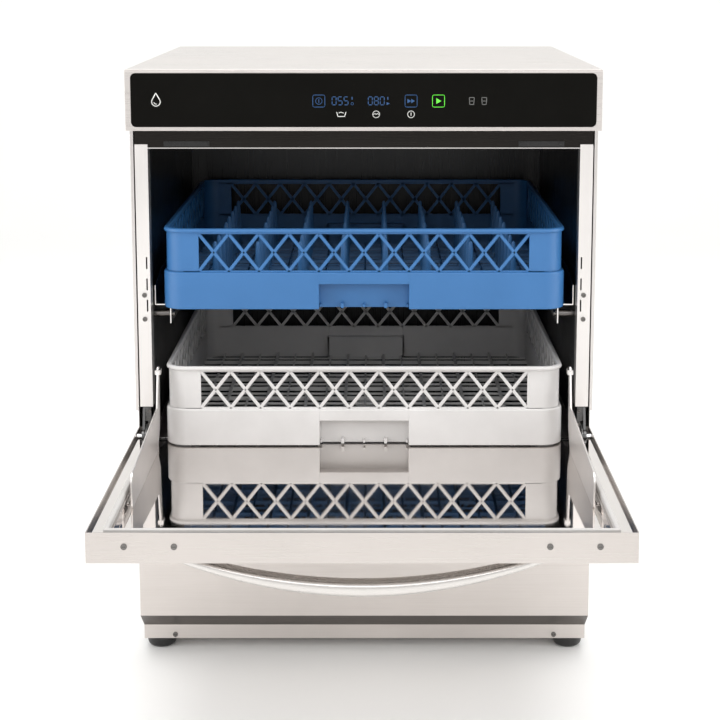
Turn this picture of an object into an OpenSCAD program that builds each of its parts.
// Undercounter commercial dishwasher with a drop-down door and two 500 mm racks.
// Millimetres. +Z is up, +X is to the right seen from the front, and the door faces -Y.
// The origin is on the floor, under the middle of the cabinet.

/* [Cabinet] */
// Width of the cabinet
body_w = 575; // [571:1:600]
// Depth of the cabinet, from the face of the control panel to the back panel
body_d = 605; // [600:1:640]
// Height from the floor to the top panel
body_h = 760; // [755:1:800]
// Thickness of the outer sheet steel
sheet = 1.2; // [1:0.1:1.5]
// Height of the feet below the base
foot_h = 15; // [15:1:16]
// Height of the control panel
fascia_h = 73.5; // [70:0.5:76]

/* [Door] */
// Angle of the door: 0 is closed and 90 is open
door_open = 90; // [0:5:90]
// Thickness of the door
door_t = 33; // [32:0.5:33.5]
// Height of the hinge axis above the floor
hinge_z = 298; // [297:0.5:299]
// Distance of the hinge axis behind the face of the door
hinge_o = 27; // [26.5:0.5:27.5]
// Depth of the door's inner tray below its rim
tray_depth = 18; // [16:0.5:18.5]
// How far the bow handle stands off the door
handle_stand = 45; // [40:1:48]

/* [Racks] */
// Width and depth of a rack
rack_w = 500; // [490:1:500]
// Height of a rack
rack_h = 101; // [96:1:104]
// Height of the lower rack's base above the floor
lower_rack_z = 287.6; // [287.5:0.1:288]
// Height of the upper rack's base above the floor
upper_rack_z = 462; // [450:1:470]
// Number of lattice cells along each side of a rack
rack_cells = 11; // [7:2:13]
// Number of pegs along each side of the plate rack
peg_count = 8; // [6:1:9]

/* [Hidden] */
$fn = 48;

STEEL = "silver";
BRIGHT = "gainsboro";
BLACK = [0.08, 0.08, 0.08];
half_w = body_w / 2;
fascia_z = body_h - fascia_h;

// Depths are measured back from the face of the control panel, and o is such a depth.
post_o = 35;
chamber_o = 57;
chamber_back_o = 552;
rail_o = 62;
rail_end_o = 536;
rack_o = 24;
kick_o = 65;
lower_panel_o = 33;
side_o = lower_panel_o + sheet;

// Widths are half widths, from the middle plane.
post_x = 266;
post_outer_x = 282;
wall_x = 267.4;
liner_x = 262;
seal_x = 271;
guide_x = 256;
rail_x = 244;
rail_outer_x = 263;

// Heights above the floor.
kick_top_z = 34.3;
lower_panel_z = 59;
panel_top_z = hinge_z - 30;
post_z = 335;
lip_z = 661;
ceiling_z = 735;
floor_z = 200;
tank_lip_z = 286;
door_top_z = fascia_z - 3;
tray_o = door_t - tray_depth;
arm_o = 295;

function fy(o) = o - body_d / 2;

// A box between two places on each axis, with the depths measured from the front.
module span(x, o, z) {
    translate([x[0], fy(o[0]), z[0]])
        cube([x[1] - x[0], o[1] - o[0], z[1] - z[0]]);
}

// A profile of [depth, height] points, drawn out across the width.
module across(x, points) {
    translate([x[0], fy(0), 0])
        rotate([90, 0, 90])
            linear_extrude(x[1] - x[0])
                polygon(points);
}

// The same part on the right (side 1) or on the left (side -1).
module on_side(side) {
    mirror([side < 0 ? 1 : 0, 0, 0]) children();
}

// Both sides at once.
module both_sides() {
    on_side(1) children();
    on_side(-1) children();
}

// A round bar along X, along Y or along Z, from a place on that axis.
module bar_x(x, o, z, r) {
    translate([x[0], fy(o), z]) rotate([0, 90, 0]) cylinder(r = r, h = x[1] - x[0]);
}
module bar_y(x, o, z, r) {
    translate([x, fy(o[1]), z]) rotate([90, 0, 0]) cylinder(r = r, h = o[1] - o[0]);
}
module bar_z(x, o, z, r) {
    translate([x, fy(o), z[0]]) cylinder(r = r, h = z[1] - z[0]);
}

// Points of an arc about a centre, in equal steps.
function arc(centre, r, from, to, steps) =
    [for (i = [0:steps]) centre + r * [cos(from + (to - from) * i / steps),
                                       sin(from + (to - from) * i / steps)]];

// A rectangle about the origin with round corners.
function round_rect(w, d, r, steps = 4) = concat(
    arc([w / 2 - r, d / 2 - r], r, 0, 90, steps),
    arc([r - w / 2, d / 2 - r], r, 90, 180, steps),
    arc([r - w / 2, r - d / 2], r, 180, 270, steps),
    arc([w / 2 - r, r - d / 2], r, 270, 360, steps));

module round_plate(w, d, r, h) {
    linear_extrude(h) polygon(round_rect(w, d, r));
}

// A pan-head screw along +Y or -Y, head outwards, with a cross recess.
module face_screw(x, o, z, r = 3.2, depth = 8) {
    difference() {
        union() {
            bar_y(x, [o - 1.8, o], z, r);
            bar_y(x, [o, o + depth], z, r * 0.48);
        }
        span([x - r * 0.6, x + r * 0.6], [o - 2, o - 1], [z - 0.4, z + 0.4]);
        span([x - 0.4, x + 0.4], [o - 2, o - 1], [z - r * 0.6, z + r * 0.6]);
    }
}

// ---------------------------------------------------------------- cabinet

foot_x = half_w - 20.5;
foot_front_o = kick_o + 22;
foot_rear_o = body_d - 42;
stud_r = 5;

module foot(side, o) {
    pad_r = 19;
    color(BLACK) {
        translate([side * foot_x, fy(o), 0])
            rotate_extrude()
                polygon([[0, 0], [11, 0], [14.5, 1.2], [17.2, 4], [pad_r, 8.5],
                         [pad_r, foot_h], [0, foot_h]]);
        bar_z(side * foot_x, o, [foot_h, foot_h + 24], stud_r);
    }
}

module base_tray() {
    inner_x = half_w - 2.2;
    flange_z = foot_h + 30;
    back_o = body_d - 3;
    color(STEEL)
        difference() {
            span([-inner_x, inner_x], [kick_o + sheet + 0.2, back_o], [foot_h, flange_z]);
            span([-inner_x + sheet, inner_x - sheet], [kick_o + 2.6, back_o - sheet],
                 [foot_h + 1.5, flange_z + 1]);
            span([-inner_x - 1, inner_x + 1], [kick_o, kick_o + 4], [kick_top_z - 1, flange_z + 1]);
            for (side = [-1, 1], o = [foot_front_o, foot_rear_o])
                bar_z(side * foot_x, o, [foot_h - 1, foot_h + 3], stud_r + 0.2);
        }
}

// The sheet follows the kick strip at its front foot and leaves room round the hinge.
module side_panel(side) {
    top_z = body_h - 1.6;
    notch_o = hinge_o + 30;
    color(STEEL)
        on_side(side) {
            across([half_w - 1, half_w], [
                [kick_o + sheet, foot_h + 0.5], [kick_o + sheet, kick_top_z + 0.7],
                [side_o, lower_panel_z + 0.7], [side_o, panel_top_z],
                [notch_o, panel_top_z], [notch_o, hinge_z + 32], [side_o, hinge_z + 32],
                [side_o, top_z], [body_d - 1.7, top_z], [body_d - 1.7, foot_h + 0.5]]);
            span([half_w - 4, half_w - 0.9], [side_o, side_o + 1], [hinge_z + 32, fascia_z]);
            span([half_w - 14, half_w - 0.9], [side_o + 2, body_d - 3], [top_z - 1, top_z]);
        }
}

inlet_at = [-200, 90];
drain_at = [-140, 66];
gland_at = [200, 90];
inlet_r = 13.2;
drain_r = 14;
gland_r = 10;

module rear_panel() {
    louvre_w = 90;
    color(STEEL)
        difference() {
            span([1.2 - half_w, half_w - 1.2], [body_d - 1.5, body_d], [foot_h + 1, body_h - 16]);
            for (side = [-1, 1], i = [0:6])
                span([side * 150 - louvre_w / 2, side * 150 + louvre_w / 2],
                     [body_d - 3, body_d + 1], [560 + 18 * i, 566 + 18 * i]);
            bar_y(inlet_at[0], [body_d - 3, body_d + 1], inlet_at[1], inlet_r + 0.4);
            bar_y(drain_at[0], [body_d - 3, body_d + 1], drain_at[1], drain_r + 0.4);
            bar_y(gland_at[0], [body_d - 3, body_d + 1], gland_at[1], gland_r + 0.3);
        }
}

module top_panel() {
    color(STEEL) {
        span([-half_w, half_w], [1.5, body_d], [body_h - 1.4, body_h]);
        span([3 - half_w, half_w - 3], [body_d - 1.2, body_d], [body_h - 15.5, body_h - 1]);
    }
}

// One bent sheet: the service panel, the slope and the kick strip.
module lower_front_panel() {
    outer = [[lower_panel_o, panel_top_z], [lower_panel_o, lower_panel_z],
             [kick_o, kick_top_z], [kick_o, foot_h + 0.6]];
    inner = [[kick_o + sheet, foot_h + 0.6], [kick_o + sheet, kick_top_z + 0.5],
             [side_o, lower_panel_z + 0.5], [side_o, panel_top_z]];
    color(STEEL)
        difference() {
            union() {
                across([-half_w, half_w], concat(outer, inner));
                span([-liner_x, liner_x], [lower_panel_o + 0.2, chamber_o - 1],
                     [panel_top_z - sheet, panel_top_z]);
            }
            for (side = [-1, 1])
                bar_y(side * panel_screw_x, [kick_o - 1, kick_o + 3], panel_screw_z, 1.7);
        }
}

panel_screw_x = 247;
panel_screw_z = foot_h + 6;

module panel_screws() {
    color("dimgray")
        for (side = [-1, 1])
            face_screw(side * panel_screw_x, kick_o, panel_screw_z, 3.2, 1.3);
}

// ---------------------------------------------------------------- control panel

glass_x = half_w - 7;
glass_low = fascia_z + 4.5;
glass_high = body_h - 4;
glass_r = 6;

module glass_outline(x, low, high, r, o, depth) {
    translate([0, fy(o + depth), (low + high) / 2])
        rotate([90, 0, 0])
            round_plate(2 * x, high - low, r, depth);
}

module control_fascia() {
    top = body_h - 1.5;
    color(STEEL)
        difference() {
            span([-half_w, half_w], [0, lower_panel_o + 0.8], [fascia_z, top]);
            span([sheet - half_w, half_w - sheet], [3.2, 40], [fascia_z + sheet, top - sheet]);
            glass_outline(glass_x, glass_low, glass_high, glass_r, -1, 3);
            span([-150, 150], [1, 4], [glass_low + 10, glass_high - 10]);
        }
}

module control_glass() {
    color(BLACK)
        glass_outline(glass_x - 0.2, glass_low + 0.2, glass_high - 0.2, glass_r, 0.3, 1.6);
}

module display_board() {
    mid = (glass_low + glass_high) / 2;
    color("darkgreen") span([-140, 140], [6, 7.6], [mid - 22, mid + 22]);
    color("black")
        for (x = [-50, -7])
            span([x - 16, x + 16], [2.2, 6], [mid - 8, mid + 8]);
}

module control_box() {
    color("dimgray")
        difference() {
            span([-250, -60], [12, 50], [fascia_z + 6, body_h - 8]);
            span([-247, -63], [15, 51], [fascia_z + 9, body_h - 11]);
        }
    color("darkgreen") span([-246, -64], [20, 22], [fascia_z + 10, body_h - 12]);
}

// ---------------------------------------------------------------- front frame

module front_crossbar() {
    color(BLACK) {
        span([-post_outer_x, post_outer_x], [post_o, post_o + sheet], [lip_z + 6, fascia_z - 0.2]);
        span([0.5 - post_x, post_x - 0.5], [post_o, post_o + sheet], [lip_z + 1.4, lip_z + 6.5]);
        span([-post_outer_x, post_outer_x], [post_o, chamber_o - 2], [fascia_z - 1.4, fascia_z - 0.2]);
    }
}

catch_x = 218;
module door_catches() {
    color("dimgray")
        for (side = [-1, 1]) {
            span([side * catch_x - 28, side * catch_x + 28], [post_o - 1.4, post_o],
                 [lip_z + 3, lip_z + 9.5]);
            for (end = [-1, 1])
                bar_y(side * catch_x + end * 24, [post_o - 2.4, post_o - 1.4], lip_z + 6.2, 2.4);
        }
}

slot_z = [518.5, 491.5, 464.5];
post_screw_z = [478, 447.5];
bracket_screw_z = [329, 312];
post_screw_x = 273.5;
bracket_screw_x = 270.6;

// The slots take the hooks of the upper rail, so that it can be set higher or lower.
module front_post(side) {
    slot_h = 15;
    slot_w = 1.8;
    color(BRIGHT)
        on_side(side)
            difference() {
                union() {
                    span([post_x, post_outer_x], [post_o, post_o + sheet], [post_z, lip_z + 5.5]);
                    span([post_x, post_x + sheet], [post_o, chamber_o - 0.2], [post_z, lip_z + 5.5]);
                }
                for (z = slot_z)
                    span([269.2, 269.2 + slot_w], [post_o - 1, post_o + 3],
                         [z - slot_h / 2, z + slot_h / 2]);
                for (z = post_screw_z)
                    bar_y(post_screw_x, [post_o - 1, post_o + 3], z, 1.6);
            }
}

// Screws of the posts and of the hinge brackets.
module frame_screws() {
    color("gray")
        both_sides() {
            for (z = post_screw_z) face_screw(post_screw_x, post_o, z, 3, 4);
            for (z = bracket_screw_z) face_screw(bracket_screw_x, post_o + 1.5, z, 2.3, 4);
        }
}

// ---------------------------------------------------------------- wash chamber

well_at = [150, 165];
well_r = 62;
well_z = 138;
chamber_sheet = 1.1;

// The pressed chamber, and the round sump that hangs under the hole in its floor.
module wash_chamber() {
    t = chamber_sheet;
    sump_top_z = floor_z - t - 0.1;
    color("darkgray") {
        difference() {
            union() {
                span([-wall_x - t, wall_x + t], [chamber_o, chamber_back_o + t],
                     [floor_z - t, ceiling_z + t]);
                span([0.3 - post_x, post_x - 0.3], [post_o + 1.4, chamber_o + 2],
                     [lip_z - 0.2, lip_z + 1]);
            }
            span([-wall_x, wall_x], [chamber_o + t, chamber_back_o], [floor_z, ceiling_z]);
            span([-wall_x, wall_x], [chamber_o - 3, chamber_o + 4], [tank_lip_z, lip_z - 0.2]);
            bar_z(well_at[0], well_at[1], [floor_z - 3, floor_z + 1], well_r);
            bar_z(0, arm_o, [floor_z - 3, floor_z + 1], 16.2);
            bar_z(0, arm_o, [ceiling_z - 1, ceiling_z + 3], 16.2);
        }
        difference() {
            union() {
                bar_z(well_at[0], well_at[1], [well_z, sump_top_z], well_r + t);
                bar_z(well_at[0], well_at[1], [sump_top_z - 1.5, sump_top_z], well_r + 6);
            }
            bar_z(well_at[0], well_at[1], [well_z + t, floor_z], well_r);
            bar_z(well_at[0], well_at[1], [well_z - 1, well_z + 3], 21);
        }
    }
}

// A bent rail: an upright guide, a shelf for the rack and a stiffening leg.
module rail(side, shelf_z, guide_h) {
    t = 1.5;
    color(BRIGHT)
        on_side(side)
            difference() {
                union() {
                    span([rail_x, rail_outer_x + t], [rail_o, rail_end_o], [shelf_z - t, shelf_z]);
                    span([rail_x, rail_x + t], [rail_o, rail_end_o], [shelf_z - 25, shelf_z]);
                    across([rail_outer_x, rail_outer_x + t], [
                        [rail_o, shelf_z - t], [rail_end_o, shelf_z - t],
                        [rail_end_o, shelf_z + guide_h], [rail_o + 60, shelf_z + guide_h],
                        [rail_o, shelf_z + guide_h - 12]]);
                }
                for (o = rail_bolt_o)
                    bar_x([rail_x - 1, rail_x + 3], o, shelf_z - 14, 2.7);
            }
}
rail_bolt_o = [rail_o + 12, rail_end_o - 30];
upper_shelf_z = upper_rack_z - 0.5;
lower_shelf_z = lower_rack_z - 0.6;

// The bolts hold the rails' legs, and their spacers bear on the chamber's walls.
module rail_bolts() {
    color("silver")
        both_sides()
            for (shelf = [upper_shelf_z, lower_shelf_z], o = rail_bolt_o) {
                bar_x([rail_x - 3.5, rail_x], o, shelf - 14, 4.2);
                bar_x([rail_x, rail_x + 2], o, shelf - 14, 2.5);
                bar_x([rail_x + 1.5, wall_x], o, shelf - 14, 4.2);
            }
}

// ---------------------------------------------------------------- door hinges

pin_r = 4;
lever_angle = 30;
lever_r = 60;

// Where the lever holds its spring when the door is open.
spring_o = hinge_o + lever_r * cos(lever_angle);
spring_top_z = hinge_z + lever_r * sin(lever_angle);
spring_low_z = 70;
spring_x = 277.5;

module hinge_bracket(side) {
    color("dimgray")
        on_side(side)
            difference() {
                union() {
                    across([276, 279], [[36.4, post_z - 1], [50, post_z - 1], [50, hinge_z + 18],
                                        [hinge_o + 8, hinge_z - 4], [hinge_o + 1, hinge_z + 8]]);
                    bar_x([276, 279], hinge_o, hinge_z, 9);
                    span([268.5, 272.7], [36.5, 38.5], [hinge_z + 8, post_z - 1]);
                    span([272.6, 278], [36.5, 38.5], [hinge_z + 18, post_z - 1]);
                }
                bar_x([275, 280], hinge_o, hinge_z, pin_r);
                for (z = bracket_screw_z) bar_y(bracket_screw_x, [36, 40], z, 1.2);
            }
}

module hinge_pins() {
    color("silver")
        both_sides() bar_x([272.6, 285.4], hinge_o, hinge_z, pin_r);
}

// Tension springs that balance the door, drawn as their coils' outline.
module door_springs() {
    coil_low = spring_low_z + 16;
    coil_high = spring_top_z - 20;
    coils = 26;
    pitch = (coil_high - coil_low) / coils;
    hook_r = 1.8;
    color("dimgray")
        both_sides() {
            translate([spring_x, fy(spring_o), coil_low])
                rotate_extrude()
                    polygon(concat([[3.6, coils * pitch], [3.6, 0]],
                                   [for (i = [0:coils - 1]) each [[4.8, i * pitch],
                                                                  [6, (i + 0.5) * pitch]]],
                                   [[4.8, coils * pitch]]));
            bar_z(spring_x, spring_o, [coil_high, spring_top_z], hook_r);
            bar_x([272.8, spring_x], spring_o, spring_top_z, hook_r);
            bar_z(spring_x, spring_o, [spring_low_z + 3.1, coil_low], hook_r);
        }
}

module spring_anchors() {
    color("gray")
        both_sides() {
            span([280, 283], [spring_o - 8, spring_o + 8], [foot_h + 1.5, spring_low_z + 6]);
            bar_x([272, 281], spring_o, spring_low_z, 3);
        }
}

// ---------------------------------------------------------------- inside the chamber

module filter_plates() {
    z = 222;
    color("silver")
        for (side = [-1, 1])
            difference() {
                span([side < 0 ? -262 : 34, side < 0 ? -34 : 262],
                     [chamber_o + 6, chamber_back_o - 4], [z, z + 1.5]);
                for (i = [0:9], j = [0:16])
                    bar_z(side * (52 + 21 * i), chamber_o + 26 + 27 * j, [z - 1, z + 3], 5);
                bar_z(well_at[0], well_at[1], [z - 1, z + 3], well_r - 8);
            }
}

module filter_basket() {
    r = well_r - 10;
    color("silver")
        difference() {
            union() {
                bar_z(well_at[0], well_at[1], [well_z + 14, 221.5], r);
                bar_z(well_at[0], well_at[1], [221.8 - 2, 221.8], r + 5);
            }
            bar_z(well_at[0], well_at[1], [well_z + 15.5, 222], r - 1.5);
            bar_z(well_at[0], well_at[1], [well_z + 13, well_z + 17], 22);
            for (a = [0:45:135])
                translate([well_at[0], fy(well_at[1]), well_z + 42])
                    rotate([0, 0, a])
                        cube([130, 9, 44], center = true);
        }
}

module overflow_pipe() {
    color("whitesmoke")
        difference() {
            union() {
                bar_z(well_at[0], well_at[1], [well_z - 14, 231], 19);
                bar_z(well_at[0], well_at[1], [well_z + 2, well_z + 7], 24);
            }
            bar_z(well_at[0], well_at[1], [well_z - 15, 232], 15.5);
        }
}

// A loop of sheathed element above the tank's floor.
module tank_heater() {
    r = 4.2;
    z = 210;
    color("gray") {
        for (o = [240, 330]) bar_x([-250, -70], o, z, r);
        translate([-70, fy(285), z])
            intersection() {
                rotate_extrude() translate([45, 0]) circle(r = r, $fn = 24);
                translate([0, -60, -10]) cube([60, 120, 20]);
            }
        span([-267.2, -264], [225, 345], [z - 10, z + 10]);
        for (o = [240, 330]) bar_x([-265, -249], o, z, r + 1.5);
    }
}

// A hollow spindle that feeds the arms that turn on it. It is drawn upwards from its flange.
module spindle() {
    difference() {
        union() {
            cylinder(r = 30, h = 4);
            translate([0, 0, -10]) cylinder(r = 16, h = 42);
            cylinder(r = 12, h = 54);
            cylinder(r = 8, h = 72);
            translate([0, 0, 68.5]) cylinder(r = 13, h = 7);
        }
        translate([0, 0, -11]) cylinder(r = 6, h = 70);
    }
}

module lower_spindle() {
    color("whitesmoke") translate([0, fy(arm_o), floor_z + 0.1]) spindle();
}

module upper_spindle() {
    color("whitesmoke") translate([0, fy(arm_o), ceiling_z - 0.1]) mirror([0, 0, 1]) spindle();
}

// A flat hollow spray arm about its own centre, with a row of jets on top of each half.
module spray_arm(length, w, h, bore, jets) {
    step = (length / 2 - 40) / jets;
    difference() {
        union() {
            translate([0, 0, h / 2]) cube([length - w, w, h], center = true);
            for (end = [-1, 1])
                translate([end * (length - w) / 2, 0, 0]) cylinder(r = w / 2, h = h);
            cylinder(r = bore + 8, h = h + 2);
        }
        translate([0, 0, -1]) cylinder(r = bore + 0.1, h = h + 5);
        for (end = [-1, 1], i = [1:jets])
            translate([end * (28 + i * step), 0, h - 2]) cylinder(r = 2, h = 4, $fn = 24);
    }
}

// The four arms lie across the door, each on its own shoulder of its spindle.
module lower_wash_arm() {
    color("silver") translate([0, fy(arm_o), floor_z + 33.5]) spray_arm(452, 34, 14, 12, 6);
}
module lower_rinse_arm() {
    color("silver")
        translate([0, fy(arm_o), floor_z + 56]) rotate([0, 0, 60]) spray_arm(408, 20, 8, 8, 8);
}
module upper_wash_arm() {
    color("silver")
        translate([0, fy(arm_o), ceiling_z - 33.5]) mirror([0, 0, 1]) spray_arm(452, 34, 14, 12, 6);
}
module upper_rinse_arm() {
    color("silver")
        translate([0, fy(arm_o), ceiling_z - 56])
            rotate([0, 0, 60]) mirror([0, 0, 1]) spray_arm(408, 20, 8, 8, 8);
}

// ---------------------------------------------------------------- machinery under the tank

pump_z = 92;
pump_o = 240;

module wash_pump() {
    color("dimgray") {
        bar_x([-215, -60], pump_o, pump_z, 52);
        bar_x([-224, -215], pump_o, pump_z, 44);
        span([-190, -90], [pump_o - 30, pump_o + 30], [foot_h + 1.6, pump_z - 30]);
    }
    color("black") bar_x([-60, -18], pump_o, pump_z, 58);
}

// From the pump to the lower spindle, and up behind the chamber to the upper one.
module wash_manifold() {
    r = 9.6;
    back_o = 578;
    top_z = ceiling_z + 12.2;
    low_z = floor_z - 20;
    color("gray") {
        bar_z(0, arm_o, [low_z, floor_z - 10.2], 15);
        bar_z(0, arm_o, [low_z - 24, low_z + 1], r);
        bar_y(0, [arm_o, back_o], low_z - 12, r);
        bar_z(0, back_o, [low_z - 12, top_z], r);
        translate([0, fy(back_o), low_z - 12]) sphere(r);
        translate([0, fy(back_o), top_z]) sphere(r);
        bar_y(0, [arm_o + 16.2, back_o], top_z, r);
        bar_z(-38, pump_o, [pump_z + 58.1, low_z - 12], r);
        translate([-38, fy(pump_o), low_z - 12]) sphere(r);
        translate([-38, fy(pump_o), low_z - 12])
            rotate([0, 90, atan2(arm_o - pump_o, 38)])
                cylinder(r = r, h = norm([arm_o - pump_o, 38]));
    }
}

module drain_pump() {
    color("black") {
        bar_x([60, 130], 420, 70, 30);
        span([70, 120], [400, 440], [foot_h + 1.6, 45]);
    }
    color("gray") bar_x([130, 152], 420, 70, 36);
}

module boiler() {
    color("lightgray") {
        bar_x([-258, -12], 490, 100, 62);
        bar_x([-264, -258], 490, 100, 52);
        for (x = [-220, -70]) span([x, x + 24], [460, 520], [foot_h + 1.6, 60]);
    }
    color("dimgray") {
        bar_x([-278, -264], 490, 112, 9);
        bar_x([-278, -264], 490, 88, 9);
    }
}

// Peristaltic pumps for detergent and for rinse aid, behind the service panel.
module dosing_pumps() {
    for (x = [110, 190]) {
        color("white") span([x - 28, x + 28], [96, 140], [60, 116]);
        color("gray") bar_y(x, [80, 96], 88, 22);
        color("gray") span([x - 20, x + 20], [98, 138], [foot_h + 1.6, 60]);
    }
}

inlet_end_o = body_d + 16;
drain_end_o = body_d + 30;
gland_end_o = body_d + 20;

// Thickness and radius of the collars that bear on the outside of the rear panel.
collar_t = 2.5;
collar_r = 18;

module inlet_valve() {
    x = inlet_at[0];
    z = inlet_at[1];
    color("white") {
        difference() {
            union() {
                bar_y(x, [body_d - 20, body_d + 1], z, inlet_r - 0.6);
                bar_y(x, [body_d + 0.2, body_d + collar_t], z, collar_r);
                bar_y(x, [body_d + 1, inlet_end_o], z, inlet_r);
            }
            bar_y(x, [body_d - 8, inlet_end_o + 1], z, 8);
        }
        bar_y(x, [body_d - 6, body_d - 1.7], z, 17);
        span([x - 17, x + 17], [body_d - 42, body_d - 18], [z - 17, z + 17]);
    }
    color("black") bar_z(x, body_d - 30, [z + 17, z + 50], 14);
}

module drain_outlet() {
    x = drain_at[0];
    z = drain_at[1];
    color("black")
        difference() {
            union() {
                bar_y(x, [body_d - 20, body_d + 1], z, drain_r - 0.6);
                bar_y(x, [body_d + 0.2, body_d + collar_t], z, collar_r);
                bar_y(x, [body_d + 1, drain_end_o], z, drain_r);
                bar_y(x, [body_d - 5, body_d - 1.7], z, 19);
            }
            bar_y(x, [body_d - 16, drain_end_o + 1], z, drain_r - 2.5);
        }
}

module cable_gland() {
    x = gland_at[0];
    z = gland_at[1];
    color("black")
        difference() {
            union() {
                bar_y(x, [body_d - 12, body_d + 1], z, gland_r);
                translate([x, fy(body_d + 8), z]) rotate([90, 0, 0])
                    cylinder(r = 15, h = 7.8, $fn = 6);
                bar_y(x, [body_d + 7.5, gland_end_o], z, 12);
                translate([x, fy(body_d - 1.8), z]) rotate([90, 0, 0])
                    cylinder(r = 15, h = 5, $fn = 6);
            }
            bar_y(x, [body_d - 13, gland_end_o + 1], z, 6.5);
        }
}

// ---------------------------------------------------------------- door

// Everything on the door is drawn closed, and this turns it about the hinge axis.
module on_door() {
    translate([0, fy(hinge_o), hinge_z])
        rotate([door_open, 0, 0])
            translate([0, -fy(hinge_o), -hinge_z])
                children();
}

door_x = half_w - 0.5;

// The door's lower edge is round about the hinge axis, so it turns in its own space.
function door_outline(inset) = concat(
    [[door_t, hinge_z - hinge_o + inset]],
    arc([hinge_o, hinge_z], hinge_o - inset, 270, 180, 10),
    [[inset, door_top_z - inset], [door_t, door_top_z - inset]]);

module door_outer_panel() {
    color(STEEL)
        on_door()
            difference() {
                across([-door_x, door_x], door_outline(0));
                across([sheet - door_x, door_x - sheet],
                       concat(door_outline(sheet), [[door_t + 1, door_top_z - sheet],
                                                    [door_t + 1, hinge_z - hinge_o + sheet]]));
                span([-liner_x, liner_x], [tray_o - 1.5, door_t + 2],
                     [hinge_z - hinge_o - 1, liner_low_z + 4]);
                both_sides()
                    for (x = handle_bolt_x)
                        bar_y(x, [-1, 3], handle_z, 2.6);
                both_sides()
                    for (x = edge_screw_x)
                        bar_z(x, edge_screw_o, [door_top_z - 3, door_top_z + 1], 2.2);
            }
}

liner_low_z = hinge_z - 22;
liner_high_z = door_top_z - 15;
flange_o = hinge_o;

// A shallow tray for the racks to slide over, with a raised flange that carries the seal
// and reaches out to the door's rim above the hinge levers. It has no wall at its lower end,
// so that a rack runs straight onto it.
module door_liner() {
    t = 1.1;
    reach = seal_x - liner_x;
    rim_x = door_x - sheet - 0.2;
    color(BRIGHT)
        on_door() {
            difference() {
                span([-seal_x, seal_x], [tray_o - t, flange_o],
                     [liner_low_z, liner_high_z + reach]);
                span([-liner_x, liner_x], [tray_o, flange_o + 1], [liner_low_z - 1, liner_high_z]);
                difference() {
                    span([-seal_x - 1, seal_x + 1], [tray_o - t - 1, flange_o - t],
                         [liner_low_z - 1, liner_high_z + reach + 1]);
                    span([-liner_x - t, liner_x + t], [tray_o - t - 2, flange_o],
                         [liner_low_z - 2, liner_high_z + t]);
                }
            }
            difference() {
                span([-rim_x, rim_x], [flange_o - t, flange_o],
                     [hinge_z + 14, door_top_z - sheet - 0.2]);
                span([1 - seal_x, seal_x - 1], [flange_o - t - 1, flange_o + 1],
                     [hinge_z + 13, liner_high_z + reach - 1]);
            }
        }
}

module door_seal() {
    low_z = liner_low_z;
    color("gray")
        on_door()
            difference() {
                span([1.5 - seal_x, seal_x - 1.5], [flange_o, flange_o + 7.4],
                     [low_z, liner_high_z + 7.5]);
                span([-liner_x - 2, liner_x + 2], [flange_o - 1, flange_o + 9],
                     [low_z - 1, liner_high_z + 2]);
            }
}

handle_half = 210;
handle_inner_half = 185;
handle_z = door_top_z - 27;
handle_bolt_x = [190, 202];
handle_h = 22;

// How far the bow stands off the door at a place along it.
function bow(x) = -handle_stand * (1 - pow(x / handle_half, 2));

// A bow handle: a band that runs into the door's face at both ends.
module door_handle() {
    steps = 24;
    band = 17.5;
    xs = [for (i = [0:steps]) handle_half * (2 * i / steps - 1)];
    inner = [for (i = [0:steps]) handle_inner_half * (1 - 2 * i / steps)];
    depth = handle_stand - band;
    color(STEEL)
        on_door()
            translate([0, fy(0), handle_z - handle_h / 2])
                linear_extrude(handle_h)
                    difference() {
                        polygon([for (x = xs) [x, bow(x)]]);
                        polygon([for (x = inner)
                            [x, -depth * (1 - pow(x / handle_inner_half, 2))]]);
                    }
}

edge_screw_x = [195, 247];
edge_screw_o = 18;

// Screws along the door's top edge, and those that hold the handle from inside.
module door_screws() {
    color("dimgray")
        on_door()
            both_sides() {
                for (x = edge_screw_x)
                    difference() {
                        union() {
                            bar_z(x, edge_screw_o, [door_top_z, door_top_z + 0.9], 3.4);
                            bar_z(x, edge_screw_o, [door_top_z - 6, door_top_z], 2);
                        }
                        span([x - 2, x + 2], [edge_screw_o - 0.4, edge_screw_o + 0.4],
                             [door_top_z + 0.3, door_top_z + 2]);
                    }
                for (x = handle_bolt_x) {
                    bar_y(x, [0.05, 3], handle_z, 2.4);
                    bar_y(x, [sheet, 4.5], handle_z, 4.5);
                }
            }
}

// The lever is fixed inside the door's rim and turns on the hinge pin.
module hinge_lever(side) {
    across_half = 8;
    end_o = hinge_o + lever_r * sin(lever_angle);
    end_z = hinge_z - lever_r * cos(lever_angle);
    side_step = across_half * [cos(lever_angle), sin(lever_angle)];
    color("gray")
        on_door()
            on_side(side)
                difference() {
                    union() {
                        across([273, 275.5], [
                            [hinge_o, hinge_z] + side_step, [hinge_o, hinge_z] - side_step,
                            [end_o, end_z] - side_step * 0.8, [end_o, end_z] + side_step * 0.8]);
                        bar_x([273, 275.5], hinge_o, hinge_z, across_half);
                        bar_x([273, 275.5], end_o, end_z, across_half * 0.8);
                        span([273, 275.5], [sheet + 0.2, hinge_o - 1.4], [hinge_z, hinge_z + 110]);
                        span([274, door_x - sheet], [sheet + 0.2, sheet + 3],
                             [hinge_z + 40, hinge_z + 110]);
                    }
                    bar_x([272, 277], hinge_o, hinge_z, pin_r + 0.05);
                    bar_x([272, 277], end_o, end_z, 2.6);
                }
}

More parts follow.
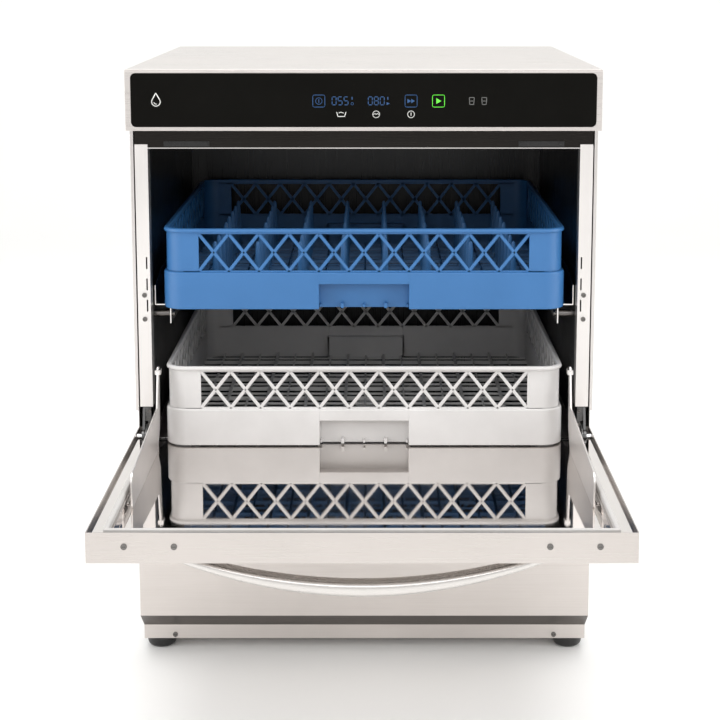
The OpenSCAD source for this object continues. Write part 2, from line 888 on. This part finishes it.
// An upright plate beside the rack's path, with a raised tail behind the hinge.
// Its outline is drawn with the door open, as depth and height.
module rack_guide(side) {
    foot_z = hinge_z - (hinge_o - tray_o) + 0.1;
    tip_o = -228;
    outline = concat(
        [[0, foot_z], [22, foot_z + 26], [29, foot_z + 96]],
        arc([23, foot_z + 98], 6, 0, 180, 6),
        [[4, foot_z + 55], [tip_o + 14, foot_z + 41]],
        arc([tip_o + 12, foot_z + 29], 12, 90, 180, 5),
        [[tip_o, foot_z + 6], [tip_o + 6, foot_z]]);
    color(BRIGHT)
        on_side(side)
            translate([0, fy(hinge_o), hinge_z])
                rotate([door_open - 90, 0, 0])
                    translate([0, -fy(hinge_o), -hinge_z]) {
                        across([guide_x, guide_x + 2.2], outline);
                        span([guide_x - 2.5, guide_x + 4.5], [17, 29], [foot_z + 94, foot_z + 100]);
                        span([guide_x, guide_x + 5.5], [tip_o + 20, -20], [foot_z, foot_z + 1.5]);
                    }
}

// ---------------------------------------------------------------- racks

rack_r = 26;
band_h = 46;
rack_inset = 3.5;
rack_wall = 3;
grip_w = 112;
grip_h = 31.5;
cell_h = 47;

// Openings of the X lattice along one side: diamonds between triangles.
module lattice_holes(length) {
    cell = length / rack_cells;
    bar = 4.4;
    low = band_h + 1.5;
    lean = norm([cell / 2, cell_h / 2]);
    dx = bar / 2 * lean / (cell_h / 2);
    dz = bar / 2 * lean / (cell / 2);
    mid = cell_h / 2;
    translate([-length / 2, 0, low])
        rotate([90, 0, 0])
            linear_extrude(rack_w + 20, center = true) {
                for (i = [0:rack_cells - 1])
                    translate([(i + 0.5) * cell, mid])
                        polygon([[dx - cell / 2, 0], [0, dz - mid],
                                 [cell / 2 - dx, 0], [0, mid - dz]]);
                for (i = [0:rack_cells], up = [-1, 1])
                    translate([i * cell, mid])
                        intersection() {
                            polygon([[0, up * dz], [dx - cell / 2, up * mid],
                                     [cell / 2 - dx, up * mid]]);
                            translate([i == 0 ? 0 : -cell, -mid])
                                square([i == 0 || i == rack_cells ? cell : 2 * cell, 2 * mid]);
                        }
            }
}

// A square rack about its own centre, standing on its base.
module rack() {
    floor_t = 5;
    holes = peg_count + 1;
    upper_w = rack_w - 2 * rack_inset;
    inner_w = upper_w - 2 * rack_wall;
    pitch = inner_w / holes;
    lattice_w = 409 * rack_w / 500;
    difference() {
        union() {
            round_plate(rack_w, rack_w, rack_r, band_h);
            round_plate(upper_w, upper_w, rack_r - rack_inset, rack_h);
        }
        translate([0, 0, floor_t])
            round_plate(inner_w, inner_w, rack_r - rack_inset - rack_wall, rack_h);
        lattice_holes(lattice_w);
        rotate([0, 0, 90]) lattice_holes(lattice_w);
        for (end = [-1, 1])
            translate([-grip_w / 2, end * rack_w / 2 - (end > 0 ? 5 : 1), -1])
                cube([grip_w, 6, grip_h + 1]);
        for (i = [0:holes - 1], j = [0:holes - 1])
            translate([(i + 0.5) * pitch - inner_w / 2, (j + 0.5) * pitch - inner_w / 2, 2])
                cube([pitch - 6, pitch - 6, 12], center = true);
    }
}

module peg(h) {
    translate([-4.5, -2, 3]) cube([9, 4, h - 3]);
}

// The pegs stand where the bars of the base cross.
module upper_rack() {
    pitch = (rack_w - 2 * rack_inset - 2 * rack_wall) / (peg_count + 1);
    first = -pitch * (peg_count - 1) / 2;
    color("cornflowerblue")
        translate([0, fy(rack_o + rack_w / 2), upper_rack_z]) {
            rack();
            for (i = [0:peg_count - 1], j = [0:peg_count - 1])
                translate([first + i * pitch, first + j * pitch, 0]) peg(76);
        }
}

module lower_rack() {
    color("lightgray")
        translate([0, fy(rack_o + rack_w / 2), lower_rack_z]) rack();
}

base_tray();
side_panel(-1);  // side_panel_left
side_panel(1);  // side_panel_right
rear_panel();
top_panel();
lower_front_panel();
control_fascia();
control_glass();
display_board();
control_box();
front_crossbar();
front_post(-1);  // front_post_left
front_post(1);  // front_post_right
door_catches();
wash_chamber();
rail(-1, upper_shelf_z, 36);  // upper_rail_left
rail(1, upper_shelf_z, 36);  // upper_rail_right
rail(-1, lower_shelf_z, 24);  // lower_rail_left
rail(1, lower_shelf_z, 24);  // lower_rail_right
rail_bolts();
frame_screws();
panel_screws();
hinge_bracket(-1);  // hinge_bracket_left
hinge_bracket(1);  // hinge_bracket_right
hinge_pins();
door_springs();
spring_anchors();
filter_plates();
filter_basket();
overflow_pipe();
tank_heater();
lower_spindle();
upper_spindle();
wash_pump();
wash_manifold();
drain_pump();
boiler();
dosing_pumps();
inlet_valve();
drain_outlet();
cable_gland();
foot(-1, foot_front_o);  // foot_front_left
foot(1, foot_front_o);  // foot_front_right
foot(-1, foot_rear_o);  // foot_rear_left
foot(1, foot_rear_o);  // foot_rear_right
door_outer_panel();
door_liner();
door_seal();
door_handle();
door_screws();
hinge_lever(-1);  // hinge_lever_left
hinge_lever(1);  // hinge_lever_right
rack_guide(-1);  // rack_guide_left
rack_guide(1);  // rack_guide_right
upper_rack();
lower_rack();
lower_wash_arm();
lower_rinse_arm();
upper_wash_arm();
upper_rinse_arm();
